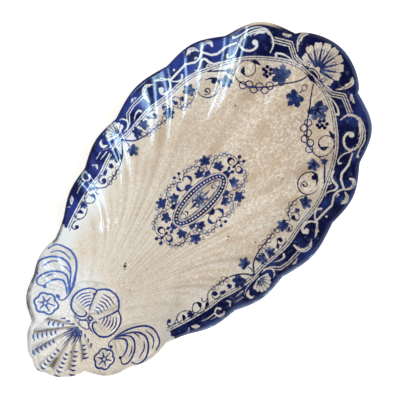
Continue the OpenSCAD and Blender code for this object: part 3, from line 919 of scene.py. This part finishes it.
# Iron spots in the glaze: two coordinates and a radius
SPOTS = ((-4.4, -55.6, 1.0), (-5.4, -54.2, 0.6), (-3.2, -57, 0.5), (-6.4, -81.9, 0.9), (-24.3, 68.8, 0.6),
         (46, 13.9, 0.5), (30.8, 4.5, 0.6), (32, 2.6, 0.4))
# The stretch of lip whose glaze is rubbed away: its middle and its reach either way in lobes, and its depth
BARE_LIP = 21.0
BARE_RUN = 0.28
BARE_DEPTH = 0.9


def spots(points):
    """1 in the iron spots of the upper face."""
    value = np.zeros(len(points))
    for x, y, radius in SPOTS:
        away = np.hypot(points[:, 0] - x, points[:, 1] - y)
        value = np.maximum(value, smooth((radius - away) / 0.8 + 0.5))
    return value * (points[:, 2] > FLOOR_TOP - 1)


def channel_stain_and_shade(ribs, plan):
    """Stain in the channels, in rays that are finer near the umbo, and in broad bands far out that are also
    painted shade.
    """
    away = distance(plan, UMBO)
    fine = 1 + 2 * smooth((110 - away) / 70)
    channel = (0.5 + 0.5 * np.cos(2 * np.pi * ribs)) ** fine
    far = smooth((away - 80) / 70)
    rays = (0.5 + 0.5 * np.cos(6 * np.pi * ribs)) ** fine * (1 - 0.6 * far)
    # Far out the bands stand for stain and also for painted shade of the flutes
    bands = (0.5 + 0.5 * np.cos(3 * np.pi * ribs)) * far
    soil_and_shade = np.minimum(0.2 * channel + 0.6 * rays + 0.8 * bands, 0.9)
    return flute_fade(ribs) * soil_and_shade * smooth((away - 24) / 10)


def from_edge(plan, ribs):
    """How far a point of the upper face lies in from its edge, along its rib."""
    return distance(upper_edge(ribs), UMBO) - distance(plan, UMBO)


def make_foot(material):
    """The foot ring, with rounded edges and a worn face."""
    turns = np.arange(0, 360, 1.5)
    outer = FLOOR_SHARE * mean_radius((turns + 180) % 360 - 180) - FOOT_INSET
    soft = 0.8
    side = [(0, FOOT_HEIGHT), (0, soft), (0.3, 0.25), (soft, 0)]
    section = side + [(FOOT_WIDTH - inset, height) for inset, height in side[::-1]]
    rows = []
    for inset, height in section:
        plan = MIDDLE + (outer - inset)[:, None] * heading(turns)
        rows.append(np.column_stack([plan, np.full(len(turns), height)]))
    count = len(turns)
    ring = np.arange(count)
    faces = []
    for n in range(len(section)):
        faces += band(n * count + ring, (n + 1) % len(section) * count + ring)
    points = np.vstack(rows)
    values = {"worn": smooth(1 - points[:, 2] / 0.7), "edge": np.full(len(points), HALF_WIDTH)}
    piece = make_piece("foot", points, faces, values, material)
    stands_for(piece, "foot_ring")


# The rings of points on a moulding, as shares of the way out to its outline
RINGS = 1 - (1 - np.linspace(0, 1, 41)[1:]) ** 1.3
# How far a moulding's face starts above the dish, and how far its edge is tucked in
SEAT = 0.25
TUCK = 0.7
# Makes a moulding as it is drawn, on the right, where MIRROR makes it on the left
RIGHT = np.ones(2)


def make_moulding(name, node, outline, centre, relief, darkening, material, way=RIGHT):
    """A moulding on the handle: its outline is drawn in to a centre, and its face swells from a soft edge.

    Darkening says how dark its grooves are, from dirt and painted shade, and way whether it is made as drawn
    or mirrored.
    """
    outline = (outline * way)[::int(way[0])]
    centre = centre * way
    count = len(outline)
    plan = np.vstack([[centre]] + [centre + k * (outline - centre) for k in RINGS])
    k = np.concatenate([[0]] + [np.full(count, r) for r in RINGS])
    swell = (1 - k**4) ** 0.7
    depth = relief(plan * way)
    height = bare_height(plan) + SEAT - TUCK * k**8 + depth * swell
    points = np.column_stack([plan, height])
    ring = 1 + np.arange(count)
    faces = np.column_stack([np.zeros(count, int), np.roll(ring, -1), ring]).tolist()
    for n in range(len(RINGS) - 1):
        faces += band(ring + n * count, ring + (n + 1) * count)
    # Painted shade and dirt darken the grooves, and a faint painted shadow rings the edge where the moulding
    # sits on the dish
    soil_and_shade = np.maximum(darkening * (1 - depth / depth.max()), 0.2 * smooth((k - 0.9) / 0.1))
    values = {**drawn_at(plan), "soil_and_shade": soil_and_shade, "spot": spots(points), "edge": np.full(len(plan), HALF_WIDTH)}
    piece = make_piece(name, points, faces, values, material)
    stands_for(piece, node)


def rounded(turn, pitch, low):
    """Round ribs by bearing: 1 along their middles, and low in the grooves between them."""
    return low + (1 - low) * np.abs(np.cos(np.radians(180 * turn / pitch))) ** 0.7


def thumb_relief(p):
    """Rounded ribs that fan out from the hinge, with grooves between them."""
    return THUMB_RELIEF * rounded(bearing(p, THUMB_HINGE) - 180, THUMB_PITCH, 0.15)


def thumb_outline():
    """A fan from the hinge to the edge of the handle, one scallop to a rib."""
    turns = np.linspace(-3.5, 3.5, 261) * THUMB_PITCH
    handle = rim(np.linspace(LAST_FLUTE, LOBE_COUNT - LAST_FLUTE, 601))
    way = (bearing(handle, THUMB_HINGE) % 360) - 180
    order = np.argsort(way)
    full = np.interp(turns, way[order], distance(handle, THUMB_HINGE)[order])
    side = smooth((np.abs(turns) - 40) / 40)
    reach = (full - EDGE_MARGIN - LIP_ROUND) * (1 - side) + THUMB_SIDE * side
    reach = reach * (1 + 0.02 * np.cos(np.radians(360 * turns / THUMB_PITCH)))
    edge = reach[:, None] * heading(180 + turns)
    sides = np.linspace(0, 1, 60)[:-1, None]
    return THUMB_HINGE + np.vstack([sides * edge[0], edge, sides[:0:-1] * edge[-1]])


COCKLE_HINGE = UMBO + (0, KNOT_LENGTH + MOULDING_GAP)


def cockle_relief(p):
    """Three rounded lobes with grooves between them."""
    return COCKLE_RELIEF * rounded(bearing(p, COCKLE_HINGE), COCKLE_LOBE, 0.35)


def cockle_outline():
    """A fan of three lobes that opens from the hinge towards the floor."""
    turns = np.linspace(-1.45, 1.45, 281) * COCKLE_SPREAD
    scallop = 1 + 0.04 * np.cos(np.radians(360 * turns / COCKLE_LOBE))
    reach = COCKLE_REACH * (1 - 0.25 * (turns / COCKLE_SPREAD) ** 2) * scallop
    reach = reach * (1 - smooth((np.abs(turns) - 90) / 60))
    return np.vstack([[COCKLE_HINGE], COCKLE_HINGE + reach[:, None] * heading(turns)])


FEATHER_INNER = COCKLE_REACH * 0.86 + MOULDING_GAP
FEATHER_OUTER = HANDLE_WIDTH / 2 - EDGE_MARGIN - LIP_ROUND
FEATHER_LEAN = 0.22
FEATHER_HALF = (FEATHER_OUTER - FEATHER_INNER) / 2
FEATHER_MIDDLE = np.array([(FEATHER_INNER + FEATHER_OUTER) / 2,
                           HANDLE_START + EDGE_MARGIN - FEATHER_LENGTH / 2])
FEATHER_ROOT = FEATHER_MIDDLE - (FEATHER_HALF, FEATHER_LENGTH / 5)
FROND_PITCH = 26.0


def frond(p):
    """1 along the middle of a frond and -1 in the groove beside it."""
    return np.cos(np.radians(360 * bearing(p, FEATHER_ROOT) / FROND_PITCH))


def feather_relief(p):
    """Low fronds that fan out from the feather's root."""
    return FEATHER_RELIEF * (0.8 + 0.2 * frond(p))


def feather_outline():
    """The right feather: a leaning oval, notched between its fronds."""
    turn = np.radians(np.arange(0, 360, 2))
    y = FEATHER_LENGTH / 2 * np.cos(turn)
    p = np.column_stack([FEATHER_HALF * np.sin(turn) + FEATHER_LEAN * y, y])
    return FEATHER_MIDDLE + p * (1 + 0.03 * frond(FEATHER_MIDDLE + p))[:, None]


def petal(turn):
    """1 along the middle of a petal and -1 between two."""
    return np.cos(np.radians(FLOWER_PETALS * turn))


def flower_relief(p):
    """Low petals round the flower's middle."""
    return FLOWER_RELIEF * (0.8 + 0.2 * petal(bearing(p, FLOWER)))


def flower_outline():
    """A rosette of round petals."""
    turns = np.arange(0, 360, 3)
    return FLOWER + (FLOWER_RADIUS * (0.94 + 0.06 * petal(turns)))[:, None] * heading(turns)


def make_mouldings(material):
    """The seven mouldings of the handle. Those at the sides are made as a right and a left one."""
    middle = THUMB_HINGE - (0, THUMB_SIDE * 0.7)
    make_moulding("thumb", "thumb_shell", thumb_outline(), middle, thumb_relief, 2.2, material)
    middle = COCKLE_HINGE + (0, COCKLE_REACH * 0.4)
    make_moulding("cockle", "cockle_shell", cockle_outline(), middle, cockle_relief, 0.9, material)
    knot = UMBO + (KNOT_WIDTH, KNOT_LENGTH) * heading(np.arange(0, 360, 5))
    make_moulding("knot", "umbo_knot", knot, UMBO, lambda p: np.full(len(p), KNOT_RELIEF), 0, material)
    for side, way in (("right", RIGHT), ("left", MIRROR)):
        make_moulding(f"{side}_plume", f"{side}_feather", feather_outline(), FEATHER_MIDDLE, feather_relief,
                      0.5, material, way)
        make_moulding(f"{side}_rosette", f"{side}_flower", flower_outline(), FLOWER, flower_relief,
                      0.6, material, way)


def linear(red, green, blue):
    """A shader colour from the eight-bit values seen on a screen."""
    return tuple((c / 255) ** 2.2 for c in (red, green, blue)) + (1.0,)


class Shader:
    """Short calls that build one material's nodes."""

    RIPPLE = 0.06
    SHINE = 0.35

    def __init__(self, name):
        self.material = bpy.data.materials.new(name)
        self.material.use_nodes = True
        self.tree = self.material.node_tree
        self.surface = self.tree.nodes["Principled BSDF"]
        self.place = self.add("TexCoord", "Object", {})

    def join(self, socket, value):
        """Links an output, or sets a plain value."""
        if isinstance(value, bpy.types.NodeSocket):
            self.tree.links.new(value, socket)
        else:
            socket.default_value = value

    def add(self, kind, output, inputs, **settings):
        """Adds a node of one kind with its settings and inputs, and gives one of its outputs."""
        node = self.tree.nodes.new(f"ShaderNode{kind}")
        for key, setting in settings.items():
            setattr(node, key, setting)
        for key, value in inputs.items():
            self.join(node.inputs[key], value)
        return node.outputs[output]

    def value(self, name):
        """A value kept at the mesh's points."""
        return self.add("Attribute", "Fac", {}, attribute_name=name)

    def noise(self, scale, detail, place=None):
        """Soft noise from 0 to 1. The scale is in waves to the metre."""
        return self.add("TexNoise", "Fac", {"Vector": place or self.place, "Scale": scale, "Detail": detail})

    def drawn_out(self, share):
        """The place with its Y coordinate shrunk, so that noise is drawn out along the dish."""
        return self.add("VectorMath", "Vector", {0: self.place, 1: (1.0, share, 1.0)}, operation="MULTIPLY")

    def cells(self, scale, feature):
        """A pattern of cells: the distance to their edges or to their middles."""
        return self.add("TexVoronoi", "Distance", {"Vector": self.place, "Scale": scale}, feature=feature)

    def reckon(self, operation, a, b):
        """Arithmetic on two values."""
        return self.add("Math", "Value", {0: a, 1: b}, operation=operation)

    def times(self, first, *others):
        """The product of some values."""
        for other in others:
            first = self.reckon("MULTIPLY", first, other)
        return first

    def ease(self, value, low, high, to_low=0.0, to_high=1.0):
        """Runs smoothly from one value to another as the input goes from low to high."""
        inputs = {"Value": value, "From Min": low, "From Max": high, "To Min": to_low, "To Max": to_high}
        return self.add("MapRange", "Result", inputs, interpolation_type="SMOOTHSTEP")

    def patches(self, scale, detail, low, high, *ends):
        """Soft patches: noise that is eased between two of its values."""
        return self.ease(self.noise(scale, detail), low, high, *ends)

    def mix(self, share, a, b):
        """A colour between two others."""
        return self.add("Mix", "Result", {"Factor": share, "A": a, "B": b}, data_type="RGBA")

    def axis(self, name):
        """One coordinate of the place on the piece, in metres."""
        return self.add("SeparateXYZ", name, {"Vector": self.place})

    def across(self, low, high, *ends):
        """Eases between two X coordinates in millimetres."""
        return self.ease(self.axis("X"), low * MILLIMETRE, high * MILLIMETRE, *ends)

    def along(self, low, high, *ends):
        """Eases between two Y coordinates in millimetres."""
        return self.ease(self.axis("Y"), low * MILLIMETRE, high * MILLIMETRE, *ends)

    def finish(self, colour, roughness, ripple):
        """Sets the surface from a colour, a roughness and a height."""
        bump = {"Strength": self.RIPPLE, "Distance": MILLIMETRE, "Height": ripple}
        looks = {"Base Color": colour, "Roughness": roughness, "Specular IOR Level": self.SHINE,
                 "Normal": self.add("Bump", "Normal", bump)}
        for key, value in looks.items():
            self.join(self.surface.inputs[key], value)
        return self.material


CREAM = linear(224, 219, 207)
PALE_CREAM = linear(236, 230, 217)
# A cool white for the left, partly the glaze's own tone and partly a painted sheen
COOL_WHITE_AND_SHEEN = linear(229, 236, 238)
WHITE = linear(225, 225, 222)
STAIN = linear(184, 160, 131)
NAVY = linear(9, 14, 60)
INK_BLUE = linear(40, 56, 116)
# Royal blue for painted light on the print's left side
LIT_ROYAL_BLUE = linear(46, 62, 140)
LEAF_BLUE = linear(34, 45, 88)
PALE_BLUE = linear(100, 116, 152)
COBALT = linear(72, 102, 176)
DARK_BLUE = linear(28, 40, 104)
CRACK = linear(158, 134, 106)
FLAKE = linear(240, 231, 217)
# Lighter slate for the lip's right side, a painted sheen
SLATE_SHEEN = linear(84, 96, 130)
# Near black for the darkened lip
LIP_DARK = linear(22, 24, 44)
BISCUIT = linear(206, 192, 172)
# Grey for dirt and painted shade in the handle's grooves
GROOVE_DIRT_AND_SHADE = linear(104, 98, 94)
# Dark grey for the handle's darker edge
HANDLE_EDGE_DARK = linear(52, 56, 76)
SPECK = linear(52, 40, 34)
WORN_CLAY = linear(196, 178, 148)
TABLE_WHITE = linear(252, 252, 252)
CLEAR_WHITE = linear(255, 255, 255)


def stained(shader, body):
    """Brown blotches, mottling and grit, pale flakes between them, and stain, dirt and painted shade in the
    grooves.
    """
    share = shader.along(-60, 100, 0.35, 1)
    blotch = shader.ease(shader.noise(26, 4, shader.drawn_out(0.5)), 0.42, 0.68, 0, 0.45)
    body = shader.mix(shader.times(share, blotch), body, STAIN)
    mottle = shader.patches(430, 4, 0.42, 0.66, 0, 0.45)
    body = shader.mix(shader.times(share, mottle), body, STAIN)
    slant = shader.reckon("ADD", shader.axis("X"), shader.axis("Y"))
    flaked = shader.ease(slant, -50 * MILLIMETRE, 70 * MILLIMETRE)
    flake = shader.ease(shader.noise(560, 6, shader.drawn_out(0.6)), 0.49, 0.55, 0, 0.85)
    body = shader.mix(shader.times(flaked, flake), body, FLAKE)
    # Stain and dirt in the channels and grooves, with painted shade in them
    grime_and_shade = shader.times(shader.value("soil_and_shade"), shader.patches(70, 5, 0.35, 0.68, 0.3, 0.8))
    body = shader.mix(grime_and_shade, body, shader.mix(shader.along(-68, -74), STAIN, GROOVE_DIRT_AND_SHADE))
    grit = shader.patches(760, 2, 0.53, 0.58, 0, 0.6)
    return shader.mix(shader.times(grit, share), body, STAIN)


def cracked(shader, body):
    """Fine cracks in the glaze, which come and go."""
    crack = shader.ease(shader.cells(420, "DISTANCE_TO_EDGE"), 0.06, 0.0)
    crack = shader.times(crack, shader.patches(30, 3, 0.35, 0.65, 0.1, 0.5))
    return shader.mix(crack, body, CRACK)


def specked(shader, body):
    """A few dark specks, and the iron spots that have places of their own."""
    speck = shader.ease(shader.cells(38, "F1"), 0.035, 0.02)
    speck = shader.times(speck, shader.patches(40, 1, 0.55, 0.6))
    body = shader.mix(speck, body, SPECK)
    return shader.mix(shader.value("spot"), body, SPECK)


def aged_body(shader):
    """Cream glaze with stains, cracks and specks; paler on the handle, whiter at the border, and cooler on
    the left, partly a painted sheen.
    """
    handle = shader.along(-64, -84)
    pale = shader.mix(shader.across(-30, 25), COOL_WHITE_AND_SHEEN, PALE_CREAM)
    body = cracked(shader, stained(shader, shader.mix(handle, CREAM, pale)))
    # Whiter at the border, and more so and cooler on the left, where part of it is a painted sheen
    border = shader.times(shader.ease(shader.value("edge"), 26, 10), shader.ease(handle, 0, 1, 1, 0),
                          shader.across(-50, 60, 0.9, 0.45), shader.along(112, 122, 1, 0.3))
    body = shader.mix(border, body, shader.mix(shader.across(-50, 30), COOL_WHITE_AND_SHEEN, WHITE))
    return specked(shader, body)


def ink_colour(shader):
    """Mottled navy, thinner in the medallion, and brightened with painted light on the left. The handle's
    paint is brighter.
    """
    colour = shader.mix(shader.patches(75, 4, 0.45, 0.75), NAVY, INK_BLUE)
    colour = shader.mix(shader.patches(330, 4, 0.55, 0.68, 0, 0.28), colour, PALE_BLUE)
    thin = shader.patches(130, 3, 0.38, 0.62)
    medallion = shader.ease(shader.value("edge"), 34, 42)
    colour = shader.mix(shader.times(thin, medallion), colour, INK_BLUE)
    # Painted light: royal blue patches brighten the print on the left side
    painted_lit_patches = shader.patches(85, 5, 0.42, 0.58, 0.15, 1)
    colour = shader.mix(shader.times(painted_lit_patches, shader.across(-34, -60)), colour, LIT_ROYAL_BLUE)
    paint = shader.mix(shader.across(-30, 20), COBALT, DARK_BLUE)
    paint = shader.mix(shader.times(thin, 0.3), paint, COBALT)
    return shader.mix(shader.along(-64, -68), colour, paint)


def inked(shader, body):
    """Lays the wash and then the ink over the body, both with soft and grainy edges."""
    grain = shader.times(shader.reckon("SUBTRACT", shader.noise(700, 1), 0.5), 0.5)
    tone = shader.mix(shader.patches(190, 2, 0.42, 0.72), LEAF_BLUE, PALE_BLUE)
    for name, colour in (("wash", tone), ("ink", ink_colour(shader))):
        laid = shader.ease(shader.reckon("ADD", shader.value(name), grain), -0.2, 0.25)
        body = shader.mix(laid, body, colour)
    return body


def lip_wear_and_sheen(shader, colour):
    """Patchy dark lip with a painted slate sheen on the right, a stretch of bare clay, and a darker handle
    edge.
    """
    edge = shader.value("edge")
    # A patchy dark lip, near black on the left and a lighter slate on the right, which is a painted sheen
    lip = shader.times(shader.ease(edge, 1.6, 0.2), shader.along(-70, -60),
                       shader.patches(26, 3, 0.35, 0.65, 0.3, 0.85))
    colour = shader.mix(lip, colour, shader.mix(shader.across(-30, 20), LIP_DARK, SLATE_SHEEN))
    colour = shader.mix(shader.value("bare"), colour, BISCUIT)
    # Darker along the handle's edge, most on the left
    darkening = shader.times(shader.across(-12, -32, 0.3, 1), shader.ease(edge, 2.6, 0.2), shader.along(-58, -70),
                        shader.patches(90, 3, 0.35, 0.6, 0.1, 0.9))
    return shader.mix(darkening, colour, HANDLE_EDGE_DARK)


def glaze(name, printed):
    """The shiny glaze of the dish, which is printed and has a worn lip with a painted sheen, or of its
    mouldings.
    """
    shader = Shader(name)
    colour = inked(shader, aged_body(shader))
    if printed:
        colour = lip_wear_and_sheen(shader, colour)
    roughness = shader.patches(60, 3, 0.3, 0.7, 0.1, 0.2)
    return shader.finish(colour, roughness, shader.noise(110, 2))


def foot_material():
    """Glaze that is wiped off the worn face of the foot."""
    shader = Shader("foot_glaze")
    worn = shader.value("worn")
    colour = shader.mix(worn, aged_body(shader), WORN_CLAY)
    return shader.finish(colour, shader.ease(worn, 0, 1, 0.2, 0.75), shader.noise(500, 2))


# The table's side in metres, its own glow, and how far it lies under the foot in metres
TABLE_SIDE = 6.0
TABLE_GLOW = 0.42
TABLE_DROP = 0.0002


def make_floor():
    """A white table that runs out of the picture."""
    shader = Shader("table")
    tint = shader.mix(shader.noise(3, 2), TABLE_WHITE, CLEAR_WHITE)
    material = shader.finish(tint, 0.7, shader.noise(40, 1))
    shader.surface.inputs["Emission Color"].default_value = CLEAR_WHITE
    shader.surface.inputs["Emission Strength"].default_value = TABLE_GLOW
    bpy.ops.mesh.primitive_plane_add(size=TABLE_SIDE, location=(0, 0, -TABLE_DROP))
    floor = bpy.context.object
    floor.name = "table"
    floor.data.materials.append(material)


def add_light(name, place, aim, size, energy, colour):
    """An oblong soft light that shines from one point towards another."""
    data = bpy.data.lights.new(name, "AREA")
    data.shape = "RECTANGLE"
    data.size, data.size_y = size
    data.energy = energy
    data.color = colour
    light = bpy.data.objects.new(name, data)
    light.location = place
    light.rotation_euler = (Vector(aim) - Vector(place)).to_track_quat("-Z", "Y").to_euler()
    bpy.context.scene.collection.objects.link(light)
    return light


# How bright the sky is on the dish, and how bright where the glaze reflects it
SKY_LIGHT = 0.5
SKY_SHINE = 0.15


def set_lights():
    """A window of two tall panes, a soft lamp above and a white sky.

    The window only shines in the glaze, the lamp doesn't show in it, and the sky is dull there.
    """
    for pane, y in (("near_pane", -0.5), ("far_pane", -0.04)):
        window = add_light(pane, place=(1.2, y, 0.85), aim=(0, 0.02, 0.02), size=(0.15, 1.3), energy=17,
                           colour=(0.5, 0.77, 1.0))
        window.visible_diffuse = False
    lamp = add_light("lamp", place=(0.6, 0.6, 1.4), aim=(0, 0, 0), size=(1.2, 1.2), energy=20,
                     colour=(1.0, 0.99, 0.98))
    lamp.visible_glossy = False
    world = bpy.data.worlds.new("sky")
    world.use_nodes = True
    background = world.node_tree.nodes["Background"]
    background.inputs["Color"].default_value = CLEAR_WHITE
    rays = world.node_tree.nodes.new("ShaderNodeLightPath")
    strength = world.node_tree.nodes.new("ShaderNodeMapRange")
    strength.inputs["To Min"].default_value = SKY_LIGHT
    strength.inputs["To Max"].default_value = SKY_SHINE
    world.node_tree.links.new(rays.outputs["Is Glossy Ray"], strength.inputs["Value"])
    world.node_tree.links.new(strength.outputs["Result"], background.inputs["Strength"])
    bpy.context.scene.world = world


# The camera looks straight down on the plane of the rim
CAMERA_AIM = np.array([1.3, 8.9])
CAMERA_TURN = 43.5
CAMERA_RISE = 900.0
VIEW_WIDTH = 252.2


def set_camera():
    """An overhead camera, turned so that the dish lies across the picture, its handle low on the left."""
    data = bpy.data.cameras.new("overhead")
    data.sensor_width = 36
    data.lens = data.sensor_width * CAMERA_RISE / VIEW_WIDTH
    camera = bpy.data.objects.new("overhead", data)
    camera.location = Vector((*CAMERA_AIM, RIM_HEIGHT + CAMERA_RISE)) * MILLIMETRE
    camera.rotation_euler = (0, 0, math.radians(CAMERA_TURN))
    bpy.context.scene.collection.objects.link(camera)
    bpy.context.scene.camera = camera
    bpy.context.scene.view_settings.view_transform = "Standard"


make_dish(glaze("printed_glaze", True))
make_foot(foot_material())
make_mouldings(glaze("painted_glaze", False))
make_floor()
set_lights()
set_camera()
